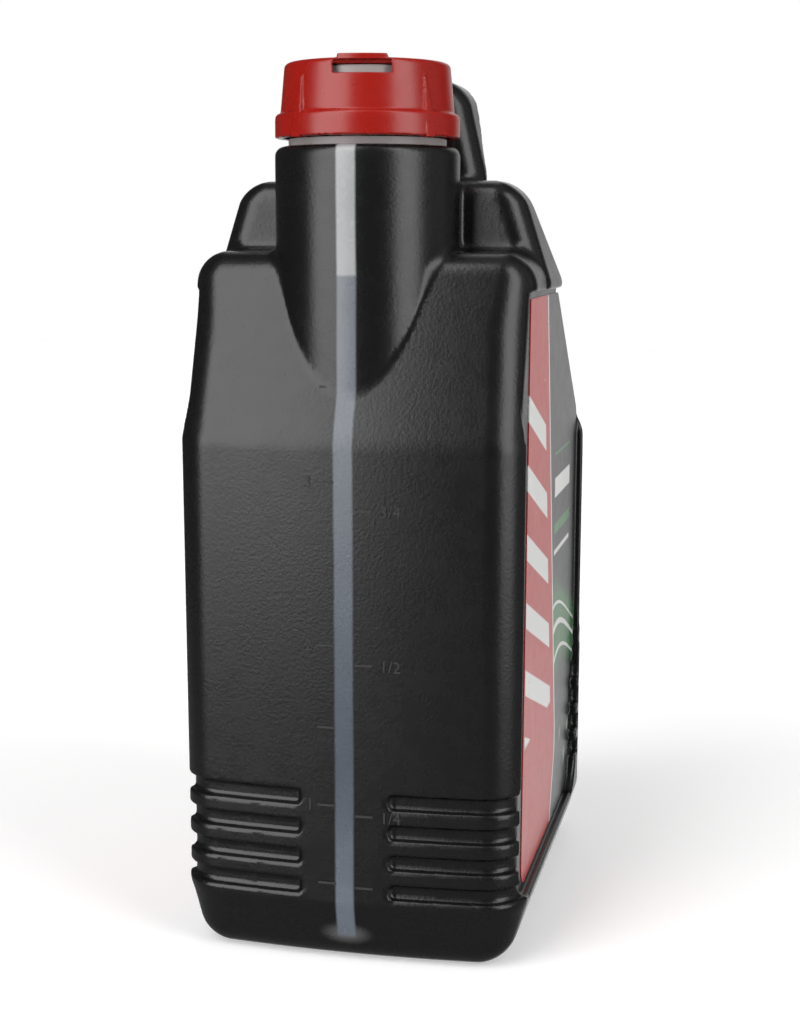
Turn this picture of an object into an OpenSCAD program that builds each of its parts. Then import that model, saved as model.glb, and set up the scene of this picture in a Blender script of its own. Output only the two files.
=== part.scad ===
// Four-litre motor oil jug: a blown bottle with an integral handle, its labels, its oil and
// a two-shell screw closure. Millimetres, +Z up, origin under the middle of the bounding box,
// with the neck towards -X and the front label facing -Y.

/* [Body] */
// Width of the body, along X
body_w = 172; // [162:0.5:184]
// Depth of the body, along Y
body_d = 121.3; // [115:0.1:127]
// Height of the first shoulder, beside the neck
step_z = 242; // [238:0.5:246]
// Height of the crease where the neck end starts to lean back
crease_z = 180.5; // [172:0.5:190]
// Angle by which the neck end leans back above the crease
lean_a = 17.5; // [12:0.5:20]
// How far each end swells outward in plan
end_bulge = 4; // [2:0.5:6]
// Radius of the upright corners
corner_r = 14; // [10:1:18]
// Thickness of the blown wall
wall = 1.5; // [1.2:0.1:2]
// Height of the tapered band round the base
bevel_h = 21.5; // [17:0.5:23]
// How far that band draws in at the floor, at the sides
bevel_in = 8; // [5:0.2:9]
// How far it draws in at the ends
bevel_end = 5; // [3:0.2:6]
// Radius of the edge round the base
base_r = 11; // [7:0.5:12]
// Radius of the edge round the first shoulder
step_r = 12; // [8:0.5:13]
// Height of the hollow pushed up into the base
push_up = 5; // [4:0.5:7]
// Width of the ring that the jug stands on
foot_w = 22; // [20:1:26]
// Height at which the far top corner is cut off
cut_z = 173; // [166:0.5:179]
// Slope of that cut, in degrees
cut_a = 40; // [36:1:42]
// Radius of the long edges of the cut
cut_r = 12; // [8:0.5:14]
// How far the sides draw in from the crease to the first shoulder
step_in = 4.2; // [2:0.2:6]

/* [High shoulder] */
// Height of the high shoulder behind the neck
high_z = 266; // [263:0.5:269]
// Distance from the neck end to the shoulder's near face
high_x0 = 47.5; // [45:0.5:51]
// Length of the shoulder along X
high_w = 44; // [40:1:48]
// Length of its flat top along X
high_top = 24.5; // [21:0.5:28]
// How much narrower its top is than the body, on each side
high_in = 11; // [8:0.2:12]
// Radius of its edges
high_r = 8; // [5:1:9]

/* [Neck] */
// Distance from the neck end to the neck's axis
neck_x0 = 36; // [34:0.2:37]
// Outer radius of the neck column
neck_r = 31.2; // [30:0.2:32]
// Height of the column's top
neck_z = 276.6; // [274:0.2:278]
// Radius of the column's top edge
neck_edge = 3; // [2:0.5:4]
// Outer radius of the threaded mouth
mouth_r = 22; // [20.5:0.5:22.5]
// Height of the mouth above the column
mouth_h = 22; // [20:0.2:24]
// Wall of the mouth
mouth_wall = 2.2; // [1.8:0.1:2.6]
// Height of the thread beads round the mouth
bead = 1.1; // [0.8:0.1:1.2]

/* [Handle] */
// Height of the handle's top
grip_z = 302; // [300:0.5:303.5]
// Free space between the cap and the handle
cap_gap = 4.6; // [4:0.2:5.5]
// Thickness of the handle in the front view
grip_t = 22; // [20:1:24]
// Half of the handle's width where it leaves the shoulder
root_half = 33.5; // [30:0.5:35]
// Length of the root along X before it draws in to the grip
root_w = 14; // [10:1:18]
// Half of its width at the top
top_half = 25.2; // [23:0.2:27]
// Half of its width along the grip
grip_half = 17.5; // [15:0.5:19]
// Radius of its edges
grip_r = 10; // [7:0.5:11]
// Length of the handle's flat top
grip_top = 40; // [36:1:46]
// Radius of the corners of the finger hole
hole_r = 10; // [8:1:12]

/* [Label panels] */
// Depth of the panel sunk into the front and the back
panel_d = 3.5; // [2.5:0.5:4]
// Distance from the neck end to the panel
panel_x0 = 20.5; // [18:0.5:24]
// Height of the panel's lower edge
panel_z0 = 22.5; // [21:0.5:24]
// Height of the ledge over the panel
ledge_z = 228.7; // [223:0.1:232]
// Distance from the far end to the panel's far edge
panel_x1 = 15; // [14:1:20]
// Distance from the far end to the panel's far edge beside the grooves
far_rib_w = 25; // [22:1:28]
// Space between the panel's edge and the label
label_gap = 2; // [1.5:0.5:4]
// Thickness of the label
label_t = 0.3; // [0.2:0.1:0.5]

/* [Grooves] */
// Number of grooves round each corner
groove_n = 4; // [3:1:4]
// Height of the middle of the lowest groove
groove_z0 = 27.2; // [26:0.1:28]
// Spacing of the grooves
groove_pitch = 10.6; // [10:0.1:11.2]
// Height of a groove
groove_h = 5.2; // [4.4:0.2:6]
// Depth of a groove
groove_d = 2.2; // [1.4:0.2:2.4]
// How far the grooves run on into the sunk panel
groove_run = 3; // [2:0.5:4]
// How far the grooves at the panel's far edge run on towards the far end
far_run = 8; // [5:0.5:9]
// Half of the plain strip between the grooves of one end
groove_half = 15.3; // [12:0.1:18]

/* [Closure] */
// Outer radius of the cap's flange
flange_r = 30.8; // [30.2:0.2:31.4]
// Height of the flange
flange_h = 6; // [5.2:0.2:6.6]
// Outer radius of the cap above the flange
cap_r = 29.4; // [29:0.1:29.8]
// Outer radius of the cap at its top
cap_top_r = 27.7; // [27.3:0.1:28.1]
// Height of the cap
cap_h = 24.2; // [23.6:0.2:24.6]
// Wall of the cap
cap_wall = 1.5; // [1.3:0.1:1.6]
// Space between the neck column and the cap's flange
under_gap = 3; // [2.6:0.2:3.4]
// Direction in which the cap's tab points
cap_turn = 190; // [0:5:360]
// Width of the window under the tab
window_w = 19; // [17:0.5:21]
// Height of the window under the tab
window_h = 4.3; // [3.5:0.1:4.7]
// Height of the tab above the cap
tab_h = 1.2; // [0.8:0.2:1.6]
// Number of fins round the cap
fin_n = 4; // [2:1:6]
// Width of a fin at its foot
fin_w = 3; // [2:0.2:4]
// Height of a fin
fin_h = 10.5; // [8:0.5:11.5]
// Thickness of the inner cap
insert_t = 1.5; // [1.2:0.1:1.8]
// Thickness of the sealing disc
liner_t = 1.2; // [1:0.1:1.4]
// Running space round the closure's moving parts
run_gap = 0.3; // [0.2:0.05:0.4]

/* [Oil] */
// Height of the oil
oil_z = 234.4; // [190:0.2:236]

/* [Hidden] */
$fn = 96;
black = [0.05, 0.05, 0.055];
red = [0.78, 0.07, 0.06];
natural = [0.88, 0.86, 0.8];
x0 = -body_w / 2;
x1 = body_w / 2;
half = body_d / 2;
far = 400;
neck_x = x0 + neck_x0;
cap_z = neck_z + under_gap;
mouth_z = neck_z + mouth_h;
lean_x = (step_z - crease_z) * tan(lean_a);
face_draw = bevel_end * 0.2;
cut_drop = tan(cut_a);
cut_end = x1 - (step_z - cut_z) / cut_drop;
high_x = x0 + high_x0;
high_far = high_x + high_w;
high_foot = high_z - (high_w - high_top) * cut_drop;
grip_x = neck_x + flange_r + cap_gap;
hole_x = grip_x + grip_t - 2;
hole_top = grip_z - grip_t;
eps = 0.01;

// Left-hand normal of the edge from a to b, which points into an outline drawn anticlockwise
function inward(a, b) = let (d = [b.x - a.x, b.y - a.y]) [-d.y, d.x] / norm(d);

// An outline [x, y, radius] drawn in by g, with its radii kept concentric
function drawn_in(c, g) = [for (k = [0 : len(c) - 1])
    let (p = c[(k + len(c) - 1) % len(c)], q = c[k], s = c[(k + 1) % len(c)],
         m = inward(p, q), n = inward(q, s), turn = m.x * n.y - m.y * n.x,
         v = (m + n) * g / (1 + m * n))
    [q.x + v.x, q.y + v.y, max(0.4, q[2] - g * sign(turn))]];

// An outline [x, y, radius] as plain points, each corner an arc of its own radius
function rounded(c, steps = 6) = [for (k = [0 : len(c) - 1])
    let (p = c[(k + len(c) - 1) % len(c)], q = c[k], s = c[(k + 1) % len(c)],
         m = inward(p, q), n = inward(q, s), turn = m.x * n.y - m.y * n.x,
         side = sign(turn), r = q[2],
         o = [q.x, q.y] + (m + n) * side * r / (1 + m * n),
         a = atan2(-side * m.y, -side * m.x),
         sweep = side * acos(max(-1, min(1, m * n))))
    for (i = [0 : steps]) o + r * [cos(a + sweep * i / steps), sin(a + sweep * i / steps)]];

// Stands an X-Z outline up and gives it a depth of 2 * h about Y = 0
module along_y(points, h = far) {
    rotate([90, 0, 0]) translate([0, 0, -h]) linear_extrude(2 * h) polygon(points);
}

// Stands a Y-Z outline up and runs it along X from a to b
module along_x(points, a = -far, b = far) {
    translate([a, 0, 0]) rotate([90, 0, 90]) linear_extrude(b - a) polygon(points);
}

// Runs an outline of Y and height along the cut corner, downhill from its upper end
module along_cut(points) {
    translate([cut_end, 0, step_z]) rotate([0, cut_a, 0]) along_x(points);
}

// Outline of the body from the front: base, far end, cut corner, step, leaning end, crease
body_front = [
    [x0 + face_draw + bevel_end, 0, base_r],
    [x1 - face_draw - bevel_end, 0, base_r],
    [x1 - face_draw, bevel_h, 12],
    [x1, cut_z, 12],
    [cut_end, step_z, 8],
    [x0 + lean_x, step_z, step_r],
    [x0, crease_z, 30],
    [x0 + face_draw, bevel_h, 12]];

// Outline of the body from its end, mirrored about Y = 0
body_side = [
    [-half + bevel_in, 0, base_r],
    [half - bevel_in, 0, base_r],
    [half, bevel_h, 12],
    [half, crease_z, 40],
    [half - step_in, step_z, step_r],
    [-half + step_in, step_z, step_r],
    [-half, crease_z, 40],
    [-half, bevel_h, 12]];

// Outline of the body along the cut: Y, and height square to the cut from its upper end
body_cut = [
    [-half - 5, -far, 1],
    [half + 5, -far, 1],
    [half + 5, -60, 1],
    [half - 1, 0, cut_r],
    [-half + 1, 0, cut_r],
    [-half - 5, -60, 1]];

// Plan of the body: each end swells to its middle
body_plan = [
    [x0 + end_bulge, -half, corner_r],
    [x1 - end_bulge, -half, corner_r],
    [x1, -half / 3, 120],
    [x1, half / 3, 120],
    [x1 - end_bulge, half, corner_r],
    [x0 + end_bulge, half, corner_r],
    [x0, half / 3, 120],
    [x0, -half / 3, 120]];

// The high shoulder behind the neck, from the front, from its end and in plan
high_front = [
    [high_x, crease_z, 1],
    [high_far, crease_z, 1],
    [high_far, high_foot, 4],
    [high_x + high_top, high_z, high_r],
    [high_x, high_z, high_r]];
high_side = [
    [-half + 0.5, crease_z, 1],
    [half - 0.5, crease_z, 1],
    [half - 0.5, ledge_z + 3, 3],
    [half - high_in, high_z, high_r],
    [-half + high_in, high_z, high_r],
    [-half + 0.5, ledge_z + 3, 3]];
high_plan = [
    [high_x, -half, high_r + 2],
    [high_far, -half, high_r],
    [high_far, half, high_r],
    [high_x, half, high_r + 2]];

// The handle from the front, with its finger hole
grip_front = [
    [grip_x, high_z - 14, 1],
    [x1 - 6, cut_z - 20, 1],
    [x1, cut_z, 6],
    [x1, grip_z - (x1 - grip_x - grip_top) * cut_drop, 30],
    [grip_x + grip_top, grip_z, 30],
    [grip_x, grip_z, grip_r]];
hole_front = [
    [hole_x, step_z - (hole_x - cut_end) * cut_drop, hole_r],
    [x1 - grip_t, step_z - (x1 - grip_t - cut_end) * cut_drop, hole_r],
    [x1 - grip_t, hole_top - (x1 - grip_t - hole_x - grip_top * 0.6) * cut_drop, hole_r],
    [hole_x + grip_top * 0.6, hole_top, hole_r + 6],
    [hole_x, hole_top, hole_r]];

// The handle from its end: the broad root over the shoulder and the slimmer grip
root_side = [
    [-root_half - 6, crease_z, 1],
    [root_half + 6, crease_z, 1],
    [root_half, high_z, 3],
    [top_half, grip_z, grip_r],
    [-top_half, grip_z, grip_r],
    [-root_half, high_z, 3]];
root_plan = [
    [grip_x, -root_half, 6],
    [grip_x + root_w, -root_half, 12],
    [hole_x + root_w, -grip_half, 12],
    [x1, -grip_half, grip_r],
    [x1, grip_half, grip_r],
    [hole_x + root_w, grip_half, 12],
    [grip_x + root_w, root_half, 12],
    [grip_x, root_half, 6]];

// The sunk panel from the front: near edge, foot, grooved far corner, far edge, cut, ledge
panel_front = [
    [x0 + panel_x0, panel_z0, 9],
    [x1 - far_rib_w, panel_z0, 16],
    [x1 - far_rib_w, panel_z0 + groove_n * groove_pitch, 8],
    [x1 - panel_x1, panel_z0 + groove_n * groove_pitch + 14, 8],
    [x1 - panel_x1, cut_z + (panel_x1 - 8) * cut_drop, 6],
    [cut_end + (step_z - ledge_z - 9) / cut_drop, ledge_z, 6],
    [x0 + panel_x0 + 6, ledge_z, 3]];

// The body inside its three outlines, drawn in by g
module body_block(g = 0) {
    intersection() {
        along_y(rounded(drawn_in(body_front, g)));
        along_x(rounded(drawn_in(body_side, g)));
        along_cut(rounded(drawn_in(body_cut, g)));
        linear_extrude(far) polygon(rounded(drawn_in(body_plan, g)));
    }
}

// The high shoulder, drawn in by g
module high_block(g = 0) {
    intersection() {
        along_y(rounded(drawn_in(high_front, g)));
        along_x(rounded(drawn_in(high_side, g)));
        linear_extrude(far) polygon(rounded(drawn_in(high_plan, g)));
    }
}

// The handle, drawn in by g, so that its hole grows by g
module grip_block(g = 0) {
    difference() {
        intersection() {
            along_y(rounded(drawn_in(grip_front, g)));
            along_x(rounded(drawn_in(root_side, g)));
            linear_extrude(far) polygon(rounded(drawn_in(root_plan, g)));
        }
        along_y(rounded(drawn_in(hole_front, -g)), half - 4);
    }
}

// The neck column, drawn in by g
module neck_block(g = 0) {
    r = neck_r - g;
    top = neck_z - g;
    translate([neck_x, 0, crease_z - 20]) cylinder(r = r, h = top - neck_edge - crease_z + 20);
    translate([neck_x, 0, 0]) rotate_extrude() {
        translate([0, top - neck_edge - eps]) square([r - neck_edge, neck_edge + eps]);
        translate([r - neck_edge, top - neck_edge]) intersection() {
            circle(r = neck_edge);
            square(neck_edge);
        }
        translate([r - neck_edge - eps, top - neck_edge - 1]) square([neck_edge + eps, 1]);
    }
}

// Both sunk panels, grown by g
module panels(g = 0) {
    for (side = [-1, 1])
        translate([0, side * (half - panel_d - g + far / 2), 0])
            along_y(rounded(drawn_in(panel_front, -g)), far / 2);
}

// The grooves round the near corners, and a pitch higher those at the panels' far edge, grown by g
module grooves(g = 0) {
    h = groove_h + 2 * g;
    keep = groove_half - g;
    depth = groove_d + g;
    difference() {
        for (k = [0 : groove_n - 1])
            translate([0, 0, groove_z0 + k * groove_pitch]) difference() {
                translate([x0 - 10, -half - 10, -h / 2])
                    cube([panel_x0 + groove_run + g + 10, body_d + 20, h]);
                translate([0, 0, -h]) linear_extrude(2 * h)
                    polygon(rounded(drawn_in(body_plan, depth)));
            }
        cube([body_w + 40, 2 * keep, far], center = true);
    }
    for (k = [1 : groove_n], side = [-1, 1])
        translate([x1 - far_rib_w - groove_run - g, side * (half - depth + 10) - 10,
                   groove_z0 + k * groove_pitch - h / 2])
            cube([groove_run + far_run + 2 * g, 20, h]);
}

// The hollow under the base, grown by g
module base_hollow(g = 0) {
    foot = foot_w - g;
    translate([0, 0, -1]) linear_extrude(push_up + g + 1)
        polygon(rounded([
            [x0 + foot, -half + foot, 12], [x1 - foot, -half + foot, 12],
            [x1 - foot, half - foot, 12], [x0 + foot, half - foot, 12]]));
}

// The space inside the bottle, with its skin g inside the outer form
module cavity(g) {
    difference() {
        union() {
            body_block(g);
            high_block(g);
            neck_block(g);
            grip_block(g);
        }
        panels(g);
        grooves(g);
        base_hollow(g);
    }
}

// The bottle: body, shoulders, neck, handle and threaded mouth blown as one piece
module bottle() {
    bore_r = mouth_r - mouth_wall;
    color(black) difference() {
        union() {
            body_block();
            high_block();
            neck_block();
            grip_block();
            translate([neck_x, 0, neck_z - eps]) cylinder(r = mouth_r, h = mouth_h + eps);
            for (k = [0, 1]) translate([neck_x, 0, mouth_z - 5 - 5 * k]) rotate_extrude()
                polygon([[mouth_r - 1, -1.8], [mouth_r, -1.4], [mouth_r + bead, -0.3],
                         [mouth_r + bead, 0.3], [mouth_r, 1.4], [mouth_r - 1, 1.8]]);
        }
        panels();
        grooves();
        base_hollow();
        cavity(wall);
        translate([neck_x, 0, neck_z - 4]) cylinder(r = bore_r, h = mouth_h + 5);
    }
}

// The oil that stands in the bottle
module oil() {
    color([0.62, 0.42, 0.12]) intersection() {
        cavity(wall + run_gap);
        translate([-far / 2, -far / 2, 0]) cube([far, far, oil_z]);
    }
}

// One label on its sunk panel; side is -1 for the front and 1 for the back
module label(side) {
    y = side * (half - panel_d) + (side > 0 ? label_t : 0);
    color([0.2, 0.22, 0.22]) translate([0, y, 0])
        rotate([90, 0, 0]) linear_extrude(label_t) polygon(rounded(drawn_in(panel_front, label_gap)));
}

module front_label() { label(-1); }
module back_label() { label(1); }

// The ring that stays on the neck when the cap is first opened
module tamper_band() {
    inner = mouth_r + bead + 0.4;
    outer = neck_r - neck_edge - 1.6;
    color(natural) translate([neck_x, 0, neck_z]) rotate_extrude()
        polygon([[inner, 0], [outer, 0], [outer, under_gap - 0.6], [inner, under_gap - 0.6]]);
}

insert_in = mouth_r + bead + run_gap;
insert_out = insert_in + insert_t;
liner_z = mouth_z + run_gap;
insert_z = liner_z + liner_t;
rim_z = cap_z + 4;

// The inner cap that grips the thread, with the rim that holds it in the outer shell
module inner_cap() {
    color(natural) translate([neck_x, 0, 0]) rotate_extrude()
        polygon([[insert_in, cap_z + 0.6], [insert_out, cap_z + 0.6], [insert_out, rim_z],
                 [insert_out + 1.4, rim_z + 0.4], [insert_out + 1.4, rim_z + 1.6],
                 [insert_out, rim_z + 2.2], [insert_out, insert_z + insert_t - 0.5],
                 [insert_out - 0.5, insert_z + insert_t], [0, insert_z + insert_t],
                 [0, insert_z], [insert_in, insert_z]]);
}

// The sealing disc under the inner cap's top
module cap_liner() {
    color([0.9, 0.9, 0.86]) translate([neck_x, 0, liner_z])
        cylinder(r = insert_in - run_gap / 2, h = liner_t);
}

// One wedge fin on the outer shell
module fin() {
    rotate([90, 0, 90]) translate([0, 0, cap_top_r - 1.2]) linear_extrude(cap_r - cap_top_r + 1.7)
        polygon([[-fin_w / 2, flange_h], [fin_w / 2, flange_h], [0.3, flange_h + 1.4 + fin_h],
                 [-0.3, flange_h + 1.4 + fin_h]]);
}

// The outer shell of the cap: flange, cone, fins, tab and window
module cap_shell() {
    edge = 1.6;
    inner_z = insert_z + insert_t + run_gap - cap_z;
    color(red) translate([neck_x, 0, cap_z]) rotate([0, 0, cap_turn]) difference() {
        union() {
            rotate_extrude() polygon([
                [insert_out + 0.6, 0], [flange_r - 0.4, 0], [flange_r, 0.4], [flange_r, flange_h],
                [cap_r, flange_h + 1.8], [cap_top_r, cap_h - edge],
                [cap_top_r - edge * 0.3, cap_h - edge * 0.3], [cap_top_r - edge, cap_h],
                [0, cap_h], [0, inner_z], [insert_out + run_gap, inner_z],
                [cap_r - cap_wall, rim_z - cap_z + 4], [cap_r - cap_wall, rim_z - cap_z - 0.2],
                [insert_out + 0.6, rim_z - cap_z - 0.8]]);
            for (k = [0 : fin_n - 1]) rotate([0, 0, (k + 0.5) * 360 / fin_n]) fin();
            intersection() {
                translate([cap_top_r - 5, -window_w * 0.43, cap_h - eps])
                    cube([5, window_w * 0.86, tab_h + eps]);
                cylinder(r = cap_top_r - 0.6, h = far);
            }
        }
        translate([cap_top_r - 3.2, -window_w / 2, cap_h - window_h - 0.6])
            cube([6, window_w, window_h]);
    }
}

bottle();
oil();
front_label();
back_label();
tamper_band();
inner_cap();
cap_liner();
cap_shell();
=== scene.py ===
"""A four-litre blown oil jug with its labels, closure and studio stage, laid out as an add-on."""
import math
from types import SimpleNamespace

import bpy
import numpy as np
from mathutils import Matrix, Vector


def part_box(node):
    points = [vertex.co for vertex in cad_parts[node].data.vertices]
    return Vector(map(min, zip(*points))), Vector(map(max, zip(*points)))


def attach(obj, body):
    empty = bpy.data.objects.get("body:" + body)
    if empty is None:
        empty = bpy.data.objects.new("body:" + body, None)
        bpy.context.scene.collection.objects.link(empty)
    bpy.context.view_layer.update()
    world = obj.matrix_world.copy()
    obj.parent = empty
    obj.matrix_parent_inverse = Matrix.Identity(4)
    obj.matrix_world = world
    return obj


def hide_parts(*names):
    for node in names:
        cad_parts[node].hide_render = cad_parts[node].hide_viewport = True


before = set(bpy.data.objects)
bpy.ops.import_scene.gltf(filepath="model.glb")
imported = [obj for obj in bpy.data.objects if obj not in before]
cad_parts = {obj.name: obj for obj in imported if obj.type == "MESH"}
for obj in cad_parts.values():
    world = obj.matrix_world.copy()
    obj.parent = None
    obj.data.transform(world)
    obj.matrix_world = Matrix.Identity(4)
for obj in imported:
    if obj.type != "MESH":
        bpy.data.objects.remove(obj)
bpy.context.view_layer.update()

bl_info = {
    "name": "Oil Jug",
    "version": (1, 0, 0),
    "blender": (4, 5, 0),
    "location": "3D View > Sidebar > Jug",
    "description": "Builds a blown oil jug with labels, a two-shell screw cap and its stage",
    "category": "Object",
}

MM = 0.001
BOTTLE_LOW, BOTTLE_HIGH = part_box("bottle")
CAP_LOW, CAP_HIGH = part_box("cap_shell")
BAND_LOW, BAND_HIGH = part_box("tamper_band")
INNER_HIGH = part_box("inner_cap")[1]
OIL_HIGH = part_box("oil")[1]
NECK_X = (BAND_LOW.x + BAND_HIGH.x) / 2


def length(name, description, default):
    """A length property, given in millimetres and kept in metres."""
    return bpy.props.FloatProperty(
        name=name, description=description, default=default * MM, unit="LENGTH", subtype="DISTANCE")


def angle(name, description, default):
    """An angle property, given in degrees."""
    return bpy.props.FloatProperty(
        name=name, description=description, default=math.radians(default), unit="ROTATION", subtype="ANGLE")


def number(name, description, default):
    """A plain number."""
    return bpy.props.FloatProperty(name=name, description=description, default=default)


def colour(name, description, default):
    """A colour, as linear red, green and blue."""
    return bpy.props.FloatVectorProperty(
        name=name, description=description, default=default, size=3, min=0, max=1, subtype="COLOR")


class JugBody(bpy.types.PropertyGroup):
    """Sizes of the bottle's body and its panels."""

    step_z: length("First shoulder", "Height of the shoulder beside the neck", 242.0)
    crease_z: length("Crease", "Height at which the neck end starts to lean back", 180.5)
    lean: angle("Lean", "How far the neck end leans back above the crease", 17.5)
    crease_r: length("Crease radius", "Radius of the crease", 14.0)
    end_bulge: length("End bulge", "How far each end swells to its middle", 4.0)
    end_draw: length("End draw", "How far each end draws in down to the tapered base", 1.0)
    corner_r: length("Corner radius", "Radius of the upright corners", 14.0)
    step_r: length("Shoulder radius", "Radius of the edge round the first shoulder", 11.5)
    side_in: length("Side draw", "How far the sides draw in from the crease to the shoulder", 1.8)
    bevel_h: length("Base taper height", "Height of the tapered band round the base", 21.5)
    bevel_in: length("Base taper at the sides", "How far the band draws in at the sides", 6.8)
    bevel_end: length("Base taper at the ends", "How far the band draws in at the ends", 5.0)
    base_r: length("Base radius", "Radius of the edge round the base", 9.5)
    push_up: length("Base hollow", "Height of the hollow in the base", 5.0)
    skin: length("Wall and gap", "Thickness of the wall and the film of air inside it", 2.0)
    foot_w: length("Foot ring", "Width of the ring that the jug stands on", 22.0)
    cut_z: length("Cut corner", "Height at which the far top corner is cut off", 173.0)
    cut: angle("Cut slope", "Slope of the cut corner", 40.0)
    cut_r: length("Cut edge radius", "Radius of the long edges of the cut", 15.0)
    panel_d: length("Panel depth", "Depth of the sunk label panels", 3.5)
    panel_x0: length("Panel start", "Distance from the neck end to the panel", 12.5)
    panel_x1: length("Panel end", "Distance from the far end to the panel", 15.0)
    panel_z0: length("Panel foot", "Height of the panel's lower edge", 22.5)
    ledge_z: length("Ledge", "Height of the ledge over the panel", 228.7)
    far_rib_w: length("Panel end at the grooves", "Distance from the far end to the panel, low down", 25.0)
    far_run: length("Far groove run", "How far the grooves there run on towards the far end", 7.5)
    groove_z0: length("Lowest groove", "Height of the middle of the lowest groove", 27.2)
    groove_pitch: length("Groove spacing", "Spacing of the grooves", 10.6)
    groove_h: length("Groove height", "Height of a groove", 5.2)
    groove_d: length("Groove depth", "Depth of a groove", 2.3)
    groove_half: length("Plain strip", "Half of the plain strip between the grooves of one end", 15.3)
    groove_run: length("Groove run", "How far the grooves run on into the panel", 11.0)
    groove_n: bpy.props.IntProperty(name="Grooves", description="Number of grooves round a corner", default=4)


class JugTop(bpy.types.PropertyGroup):
    """Sizes of the high shoulder, the neck and the handle."""

    high_z: length("High shoulder", "Height of the high shoulder behind the neck", 266.0)
    high_x0: length("Shoulder start", "Distance from the neck end to the high shoulder", 47.5)
    high_w: length("Shoulder length", "Length of the high shoulder at its foot", 45.5)
    high_top: length("Shoulder top", "Length of the high shoulder's flat top", 23.5)
    high_in: length("Shoulder draw", "How much narrower its top is, on each side", 11.0)
    high_r: length("Shoulder edge", "Radius of its edges", 8.0)
    neck_r: length("Neck radius", "Outer radius of the neck column", 31.2)
    neck_z: length("Neck height", "Height of the column's top", 276.6)
    neck_edge: length("Neck edge", "Radius of the column's top edge", 3.2)
    neck_fillet: length("Neck fillet", "Radius between the neck and the shoulder's top", 2.6)
    neck_crease: length("Neck crease", "Radius between the neck and the leaning plate", 0.7)
    shoulder_fillet: length("Shoulder fillet", "Radius at the foot of the high shoulder", 4.5)
    mouth_r: length("Mouth radius", "Outer radius of the threaded mouth", 22.0)
    mouth_wall: length("Mouth wall", "Wall of the mouth", 2.2)
    bead: length("Thread height", "How far the thread stands out", 1.1)
    grip_x: length("Handle start", "Where the handle leaves the shoulder, along X", -14.6)
    grip_t: length("Handle thickness", "Thickness of the handle in the front view", 22.0)
    grip_z: length("Handle top", "Height of the handle's top", 302.0)
    grip_top: length("Handle flat", "Length of the handle's flat top", 40.0)
    grip_r: length("Handle edge", "Radius of the handle's edges", 10.0)
    grip_half: length("Grip half width", "Half of the handle's width along the grip", 17.5)
    root_half: length("Root half width", "Half of its width at the shoulder", 33.5)
    root_w: length("Root length", "Length of the root before it draws in", 14.0)
    top_half: length("Top half width", "Half of its width at the top", 25.2)
    hole_r: length("Finger hole radius", "Radius of the corners of the finger hole", 10.0)
    grip_fillet: length("Handle fillet", "Radius where the handle meets the body", 6.0)


class JugMarks(bpy.types.PropertyGroup):
    """Sizes of the raised graduations on the near face."""

    left: length("Left ticks", "Where the left ticks start, along Y", 3.1)
    right: length("Right ticks", "Where the right ticks start, along Y", -4.0)
    tick: length("Tick length", "Length of a tick", 6.0)
    line: length("Tick width", "Width of a tick", 0.7)
    figure: length("Figure size", "Size of the numbers", 5.6)
    rise: length("Rise", "How far the marks stand out", 0.35)
    root: length("Root", "How deep their roots lie in the wall", 0.4)


class JugCap(bpy.types.PropertyGroup):
    """Sizes of the screw cap's outer shell."""

    flange_h: length("Flange height", "Height of the flange", 6.0)
    cone_r: length("Cap radius", "Outer radius above the flange", 29.4)
    top_r: length("Cap top radius", "Outer radius at the top", 27.7)
    height: length("Cap height", "Height of the cap without its tab", 24.2)
    wall: length("Cap wall", "Wall of the cap", 1.5)
    turn: angle("Tab direction", "Direction in which the tab points", 190.0)
    window_w: length("Window width", "Width of the window under the tab", 19.0)
    window_h: length("Window height", "Height of the window under the tab", 4.3)
    tab_h: length("Tab height", "Height of the tab above the cap", 1.2)
    fin_w: length("Fin width", "Width of a fin at its foot", 3.0)
    fin_h: length("Fin height", "Height of a fin above the flange", 13.0)
    fin_n: bpy.props.IntProperty(name="Fins", description="Number of fins", default=4)


class JugFinish(bpy.types.PropertyGroup):
    """Colours of the jug's materials."""

    black: colour("Bottle", "Black polyethylene", (0.006, 0.006, 0.0063))
    # Sight strip: the air or oil behind the clear strip is real, its darker tone down the oil is painted
    # shade and its lighter foot painted light
    strip_dry: colour("Strip over the oil", "Sight strip above the oil's level", (0.33, 0.335, 0.34))
    strip_wet: colour("Strip at the oil", "Sight strip just below the level", (0.15, 0.165, 0.185))
    strip_low: colour("Strip low down", "Sight strip further down", (0.068, 0.082, 0.105))
    red: colour("Cap", "Red cap", (0.31, 0.008, 0.004))
    # Milky natural plastic, darkened and tinted pink as painted shade and painted red bounce light inside the
    # cap's window
    natural: colour("Natural plastic", "Milky plastic of the inner cap and ring", (0.42, 0.36, 0.35))
    foam: colour("Sealing disc", "Foam of the sealing disc", (0.78, 0.77, 0.72))
    oil: colour("Oil", "Motor oil", (0.42, 0.22, 0.04))
    stripe: colour("Label stripe", "Red of the label's stripe", (0.52, 0.015, 0.012))
    field: colour("Label field", "Dark field of the label", (0.016, 0.017, 0.017))
    leaf: colour("Label green", "Green of the label's shapes", (0.05, 0.22, 0.06))
    paper: colour("Label white", "White of the label's shapes", (0.80, 0.80, 0.78))


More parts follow.
